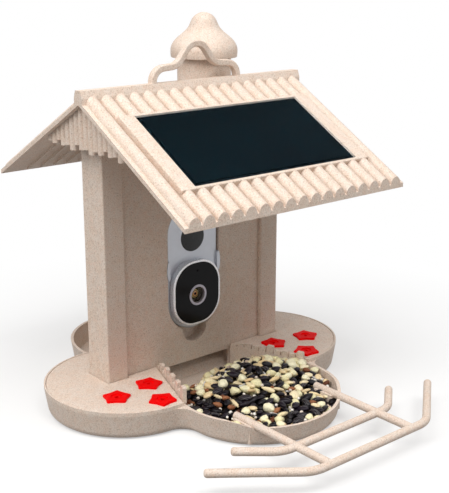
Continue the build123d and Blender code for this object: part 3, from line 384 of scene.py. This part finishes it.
def drop(name, x, y, scale):
    """Lays one seed on the pile where it falls, then raises the pile under it."""
    kind = kinds[name]
    length, width, thick = (v * scale for v in kind["size"])
    roll, pitch = rng.uniform(-roll_most, roll_most), rng.uniform(-pitch_most, pitch_most)
    turn = np.array(Euler((roll, pitch, rng.uniform(0, 2 * pi))).to_matrix())
    tips = [np.array((x, y)) + s * length / 2 * turn[:2, 0] for s in (-1, 1)]
    if any(inside(tip[0], tip[1], tip_room) <= 0 for tip in tips):
        return
    half = np.array((length, width, thick)) / 2
    i0, i1 = np.searchsorted(xs, (x - length / 2, x + length / 2))
    j0, j1 = np.searchsorted(ys, (y - length / 2, y + length / 2))
    px, py = grid_x[i0:i1, j0:j1] - x, grid_y[i0:i1, j0:j1] - y
    # The seed's ellipsoid over each cell of the pile, as a quadratic in z
    shape = turn @ np.diag(1 / half**2) @ turn.T
    a = shape[2, 2]
    b = 2 * (shape[0, 2] * px + shape[1, 2] * py)
    c = shape[0, 0] * px**2 + 2 * shape[0, 1] * px * py + shape[1, 1] * py**2 - 1
    inner = b * b - 4 * a * c
    under = inner > 0
    if under.sum() < 3:
        return
    root = np.sqrt(np.where(under, inner, 0))
    below, above = (-b - root) / (2 * a), (-b + root) / (2 * a)
    ground = height[i0:i1, j0:j1]
    rest = np.where(under, ground - below, -1)
    z = np.quantile(rest[under], rests_on) - sinks_in * thick
    highest = target[i0:i1, j0:j1][under].mean() + may_stand_out + 0.5 * thick
    if (z + above[under]).max() > highest:
        return
    ground[under] = np.maximum(ground, z + above)[under]
    start = sum(len(v) for v in kind["verts"])
    body = kind["points"] * (length, width, thick)
    kind["verts"].append(body @ turn.T + (x, y, z))
    kind["polys"].extend([tuple(start + k for k in face) for face in kind["faces"]])
    kind["tint"].append(np.tile((*rng.uniform(0, 1, 3), 1), (len(body), 1)))
    kind["local"].append(kind["points"])


def pour(tries, room, lift, fewest, most, small=False):
    """Drops seeds where the pile is still low. Their pale share grows toward the far side."""
    for _ in range(tries):
        x, y = rng.uniform(-reach_x, reach_x), rng.uniform(reach_near, reach_far)
        far = far_x * x + far_y * (y - bowl_y)
        pale = rng.uniform() < fewest + (most - fewest) * eased((far + far_half) / (2 * far_half))
        shares = pale_shares if pale else dark_shares
        odds = np.array(list(shares.values())) / sum(shares.values())
        name = "millet" if small else list(shares)[rng.choice(len(shares), p=odds)]
        scale = rng.uniform(0.80, 1.10)
        if inside(x, y, room) <= 0:
            continue
        i, j = int((x - xs[0]) / cell), int((y - ys[0]) / cell)
        if height[i, j] <= target[i, j] + lift and target[i, j] >= bowl_floor + thinnest_layer:
            drop(name, x, y, scale)


# A body of mixed seed, pale ones over it, a mixed top, and millet in the gaps
pour(9000, 0.0022, -0.0022, 0.10, 0.50)
pour(3600, 0.0022, 0.0012, 0.74, 1.0)
pour(3000, 0.0022, 0.0000, 0.34, 0.94)
pour(360, 0.0018, 0.0010, 0.2, 0.2, small=True)


def seed_material(name, first, second, rough, gloss=0.3, stripe=None, spot=None):
    """A seed's coat: a tint for each seed, soft patches, and stripes or a dark germ on some."""
    made, tree, shader = new_material(name, first, rough, Specular_IOR_Level=gloss)
    tint = node(tree, "Attribute", attribute_name="tint")
    split = node(tree, "SeparateColor", {"Color": tint.outputs["Color"]})
    ground = mix(tree, split.outputs["Red"], first, second)
    local = node(tree, "Attribute", attribute_name="local").outputs["Vector"]
    patch = noise(tree, 3.5, 3, 0.6, local)
    ground = mix(tree, spread(tree, patch, 0.50, 0.68, 0, 0.45), ground, shade(first, 0.62))
    axes = node(tree, "SeparateXYZ", {"Vector": local})
    if stripe:
        wave = sums(tree, "SINE", sums(tree, "MULTIPLY", axes.outputs["Y"], 34.0))
        rare = spread(tree, split.outputs["Green"], 0.62, 0.68, 0, 0.6)
        line = sums(tree, "MULTIPLY", spread(tree, wave, 0.82, 0.96, 0, 1), rare)
        ground = mix(tree, line, ground, stripe)
    if spot:
        near_tip = spread(tree, axes.outputs["X"], 0.22, 0.42, 0, 1)
        rare = spread(tree, split.outputs["Green"], 0.60, 0.66, 0, 0.75)
        ground = mix(tree, sums(tree, "MULTIPLY", near_tip, rare), ground, spot)
    fine = noise(tree, 12, 2, 0.5, local)
    coat = spread(tree, fine, 0.3, 0.7, rough - 0.08, rough + 0.12)
    feed(tree, shader, Base_Color=ground, Roughness=coat)
    bump(tree, shader, fine, 0.2, 0.0003)
    return made


looks_of = {
    "sunflower": ("seed_black", (0.004, 0.003, 0.005), (0.018, 0.012, 0.020), 0.32, 0.2),
    "kernel": ("seed_kernel", (0.80, 0.60, 0.32), (0.95, 0.85, 0.56), 0.5),
    "flake": ("seed_flake", (0.86, 0.66, 0.38), (0.96, 0.88, 0.62), 0.5),
    "hulled": ("seed_hulled", (0.84, 0.77, 0.45), (0.96, 0.91, 0.66), 0.48),
    "oat": ("seed_oat", (0.70, 0.50, 0.26), (0.88, 0.76, 0.50), 0.5),
    "brown": ("seed_brown", (0.10, 0.030, 0.015), (0.36, 0.15, 0.070), 0.42, 0.15),
    "millet": ("seed_millet", (0.62, 0.48, 0.36), (0.93, 0.90, 0.84), 0.45),
    "rice": ("seed_rice", (0.60, 0.58, 0.56), (0.86, 0.85, 0.84), 0.42),
}
marks = {
    "sunflower": {"stripe": (0.24, 0.22, 0.21)},
    "flake": {"spot": (0.45, 0.22, 0.08)},
    "hulled": {"spot": (0.62, 0.42, 0.20)},
}
for name, kind in kinds.items():
    coat = seed_material(*looks_of[name], **marks.get(name, {}))
    made = mesh_piece("seeds_" + name, np.vstack(kind["verts"]), kind["polys"], coat, "house")
    tint = made.data.color_attributes.new("tint", "FLOAT_COLOR", "POINT")
    tint.data.foreach_set("color", np.vstack(kind["tint"]).astype(np.float32).ravel())
    local = made.data.attributes.new("local", "FLOAT_VECTOR", "POINT")
    local.data.foreach_set("vector", np.vstack(kind["local"]).astype(np.float32).ravel())


def seed_fill_shade_material():
    """The layer of seed below the whole seeds, coloured near black to dark brown as painted shade in
    the gaps between them.
    """
    made, tree, shader = new_material("seed_fill_painted_shade", (0.05, 0.03, 0.02), 0.8)
    grains = cells(tree, 420)
    share = node(tree, "SeparateColor", {"Color": grains.outputs["Color"]}).outputs["Red"]
    # Near black to dark brown: painted shade between the seeds over the seed below.
    feed(tree, shader, Base_Color=mix(tree, share, (0.006, 0.005, 0.005), (0.10, 0.06, 0.035)))
    bump(tree, shader, grains.outputs["Distance"], 0.9, 0.0012)
    return made


# The fill is one sheet under the whole seeds, on every third cell of the pile, painted near black as
# the shade between them.
step = 3
fill_deep, fill_room, fill_thin = 0.0062, 0.0012, 0.002
kept = [
    (i, j)
    for i in range(0, len(xs), step)
    for j in range(0, len(ys), step)
    if inside(xs[i], ys[j], fill_room) > 0 and target[i, j] > bowl_floor + fill_thin
]
order = {key: n for n, key in enumerate(kept)}
fill_floor = bowl_floor + 0.0003
fill_points = [(xs[i], ys[j], max(fill_floor, target[i, j] - fill_deep)) for i, j in kept]
fill_faces = []
for i, j in kept:
    ring = [(i, j), (i + step, j), (i + step, j + step), (i, j + step)]
    if all(key in order for key in ring):
        fill_faces.append(tuple(order[key] for key in ring))
mesh_piece("seeds_fill", fill_points, fill_faces, seed_fill_shade_material(), "house")


def axis_of(low, high):
    """Where the axis of a round piece along Y crosses X and Z."""
    return (low[0] + high[0]) / 2, (low[2] + high[2]) / 2


# Inside the lens: a stepped black cone with an element at its foot that has painted glints


def glint_painted_element(reach=0.0052):
    """Painted reflections in the base colour: an olive glint ring near its edge, a brown glint ring
    inside it, and a dark pupil.
    """
    made, tree, shader = new_material("lens_painted_glints", (0.02, 0.02, 0.02), 0.12)
    mid_x, mid_z = axis_of(*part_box("lens_ring"))
    inputs = {0: place(tree), 1: (1, 0, 1)}
    flat = node(tree, "VectorMath", inputs, operation="MULTIPLY").outputs[0]
    inputs = {0: flat, 1: (mid_x, 0, mid_z)}
    away = node(tree, "VectorMath", inputs, operation="DISTANCE").outputs["Value"]
    ramp = node(tree, "ValToRGB", {"Fac": spread(tree, away, 0, reach, 0, 1)})
    rings = ramp.color_ramp
    rings.elements[0].color = (0.004, 0.004, 0.004, 1)
    rings.elements[1].color = (0.010, 0.010, 0.008, 1)
    # The brown and olive rings below are painted glints of reflected light, not a coating colour.
    for at, colour in (
        (0.20, (0.010, 0.006, 0.004)),
        (0.34, (0.62, 0.30, 0.11)),
        (0.48, (0.035, 0.024, 0.014)),
        (0.62, (0.34, 0.28, 0.10)),
        (0.78, (0.030, 0.030, 0.014)),
    ):
        rings.elements.new(at).color = (*colour, 1)
    feed(tree, shader, Base_Color=ramp.outputs["Color"])
    return made


def lens_parts(around=40, barrel_wall=0.0013):
    """The cone of baffles and the domed element, both on the lens's axis."""
    low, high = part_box("lens_barrel")
    mid_x, mid_z = axis_of(low, high)
    front, bore = low[1], (high[0] - low[0]) / 2 - barrel_wall
    # How far behind the barrel's front, and the radius as a share of the bore
    cone = ((0.0003, 1.0), (0.0012, 0.95), (0.0012, 0.86), (0.0024, 0.84))
    dome = ((0.0024, 0.84), (0.0018, 0.62), (0.0014, 0.34), (0.00125, 0.10))
    for name, profile, material, closed in (
        ("lens_baffle", cone, finish["barrel_black"], False),
        ("lens_element", dome, glint_painted_element(), True),
    ):
        points, faces = [], []
        for behind, share in profile:
            for k in range(around):
                a, r = 2 * pi * k / around, bore * share
                points.append((mid_x + r * cos(a), front + behind, mid_z + r * sin(a)))
        for j in range(len(profile) - 1):
            for k in range(around):
                a, b = j * around + k, j * around + (k + 1) % around
                faces.append((a, a + around, b + around, b))
        if closed:
            faces.append(tuple((len(profile) - 1) * around + k for k in range(around)))
        mesh_piece(name, points, faces, material, "camera")


lens_parts()


# Thread in the insert on the hopper's back


def insert_thread(bore=0.003165, pitch=0.00127, depth=0.00052, around=28):
    """A quarter-inch thread: a ridge that winds through the bore of the insert."""
    low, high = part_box("pole_insert")
    mid_x, mid_z = axis_of(low, high)
    count = int((high[1] - low[1] - pitch) / pitch * around)
    points, faces = [], []
    for k in range(count + 1):
        a = 2 * pi * k / around
        y = low[1] + pitch * (0.5 + k / around)
        for shift, r in ((-0.48, bore), (-0.06, bore - depth), (0.06, bore - depth), (0.48, bore)):
            points.append((mid_x + r * cos(a), y + shift * pitch, mid_z + r * sin(a)))
    for k in range(count):
        for j in range(4):
            a, b = 4 * k + j, 4 * k + (j + 1) % 4
            faces.append((a, b, b + 4, a + 4))
    faces += [(3, 2, 1, 0), tuple(4 * count + j for j in range(4))]
    brass = finish["brass"]
    mesh_piece("insert_thread", points, faces, brass, "house", rounded=False)


insert_thread()


# Floor, world, lamps and camera


def seen_white(tree):
    """1 for rays from the camera, mirrors and glass, which see the backdrop as white."""
    rays = node(tree, "LightPath")
    looks = sums(tree, "MAXIMUM", rays.outputs["Is Camera Ray"], rays.outputs["Is Glossy Ray"])
    return sums(tree, "MAXIMUM", looks, rays.outputs["Is Transmission Ray"])


def backdrop(lighting=0.28, pale=0.93, pale_mottle=0.915, shadow_from=0.17, shadow_to=0.42):
    """Pale matt floor. The camera, mirrors and glass see it white but for the object's shadow."""
    made, tree, shader = new_material(
        "floor_white", (0.80, 0.80, 0.80), 0.9, Specular_IOR_Level=0.1
    )
    mottle = mix(tree, noise(tree, 40, 2), (pale,) * 3, (pale_mottle,) * 3)
    looks = seen_white(tree)
    feed(tree, shader, Base_Color=mix(tree, looks, (lighting,) * 3, mottle))
    away = node(tree, "VectorMath", {0: place(tree)}, operation="LENGTH").outputs["Value"]
    white = spread(tree, away, shadow_from, shadow_to, 0.45, 1.0)
    glow = node(tree, "Emission", {"Color": (1, 1, 1, 1), "Strength": 1.0})
    seen = node(tree, "MixShader", {0: white, 1: shader.outputs[0], 2: glow.outputs[0]})
    both = node(tree, "MixShader", {0: looks, 1: shader.outputs[0], 2: seen.outputs[0]})
    tree.links.new(both.outputs[0], tree.nodes["Material Output"].inputs["Surface"])
    return made


floor_half = 6
floor_mesh = bpy.data.meshes.new("floor")
floor_mesh.from_pydata(
    [(x * floor_half, y * floor_half, 0) for x, y in ((-1, -1), (1, -1), (1, 1), (-1, 1))],
    [],
    [(0, 1, 2, 3)],
)
floor_mesh.materials.append(backdrop())
floor = bpy.data.objects.new("floor", floor_mesh)
scene.collection.objects.link(floor)

# The sky gives a weak light that grows upward, and shows as white.
sky_low, sky_high = 0.08, 0.40
world = bpy.data.worlds.new("studio")
scene.world = world
world.use_nodes = True
sky = world.node_tree
lit = sky.nodes["Background"]
heading = node(sky, "TexCoord").outputs["Generated"]
upward = node(sky, "SeparateXYZ", {"Vector": heading}).outputs["Z"]
feed(sky, lit, Strength=spread(sky, upward, 0.0, 1.0, sky_low, sky_high))
lit.inputs["Color"].default_value = (1.0, 0.99, 0.98, 1)
white = node(sky, "Background", {"Color": (1.0, 1.0, 1.0, 1), "Strength": 1.0})
mixed = node(sky, "MixShader", {0: seen_white(sky), 1: lit.outputs[0], 2: white.outputs[0]})
sky.links.new(mixed.outputs[0], sky.nodes["World Output"].inputs["Surface"])

lamp_colour = (1.0, 0.99, 0.975)
lamp_aim = Vector((0, -0.02, 0.13))
lamp_size, lamp_away = 0.9, 1.8


def lamp(name, left, up, power):
    """A square soft box that faces the object, some degrees to the left of the front and up."""
    left, up = radians(left), radians(up)
    out = Vector((-sin(left) * cos(up), -cos(left) * cos(up), sin(up)))
    soft_box = bpy.data.lights.new(name, "AREA")
    soft_box.shape, soft_box.size = "SQUARE", lamp_size
    soft_box.energy, soft_box.color = power, lamp_colour
    made = bpy.data.objects.new(name, soft_box)
    scene.collection.objects.link(made)
    made.location = lamp_aim + lamp_away * out
    made.rotation_euler = (-out).to_track_quat("-Z", "Y").to_euler()


lamp("key", 65, 60, 14.0)
lamp("front", -4, 59, 15.3)
lamp("side", 92, 36, 12.0)
lamp("fill", -36, 12, 2.8)

# The camera stands where the photo's perspective puts it, and looks right and down.
look_down, look_right = 16.18, 40.13
lens = bpy.data.cameras.new("camera")
lens.sensor_width, lens.lens = 36.0, 74.04
camera = bpy.data.objects.new("camera", lens)
scene.collection.objects.link(camera)
camera.location = (-0.52893, -0.66497, 0.37308)
camera.rotation_euler = (radians(90 - look_down), 0, radians(-look_right))
scene.camera = camera
scene.view_settings.view_transform = "Standard"
